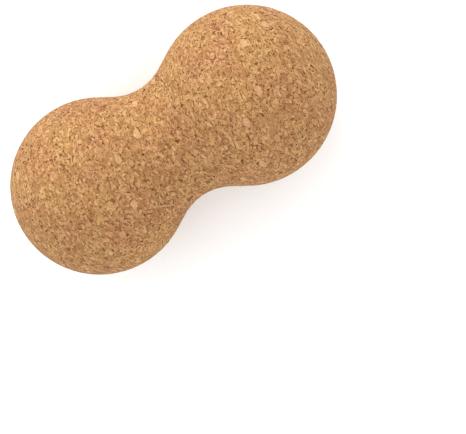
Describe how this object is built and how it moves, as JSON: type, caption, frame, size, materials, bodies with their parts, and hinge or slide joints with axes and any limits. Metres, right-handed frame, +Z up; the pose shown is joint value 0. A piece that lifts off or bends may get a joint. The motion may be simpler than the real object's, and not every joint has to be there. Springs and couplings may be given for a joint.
{
  "type": "peanut massage ball",
  "caption": "Twin-lobed massage ball turned from agglomerated cork: two round lobes with a hollowed waist that spans the spine, the neck or a tendon.",
  "frame": {"origin": "on the ground under the middle of the waist, at the bottom centre of the bounding box", "axes": "+X along the long axis through both lobe centres, +Z up"},
  "size_m": [0.16, 0.081, 0.081],
  "materials": {
    "fine_cork": "matt, sanded agglomerated cork",
    "binder": "matt polyurethane binder, in a thin film",
    "pale_cork": "matt, sanded cork",
    "honey_cork": "matt, sanded cork",
    "rust_cork": "matt, sanded cork",
    "bark": "rough bark",
    "pore_cork": "matt, woody pore lining"
  },
  "bodies": {
    "root": {"cork_body": "fine_cork", "binder_film": "binder", "pale_granules": "pale_cork", "honey_granules": "honey_cork", "rust_granules": "rust_cork", "bark_crumbs": "bark", "pore_slivers": "pore_cork"}
  },
  "joints": []
}
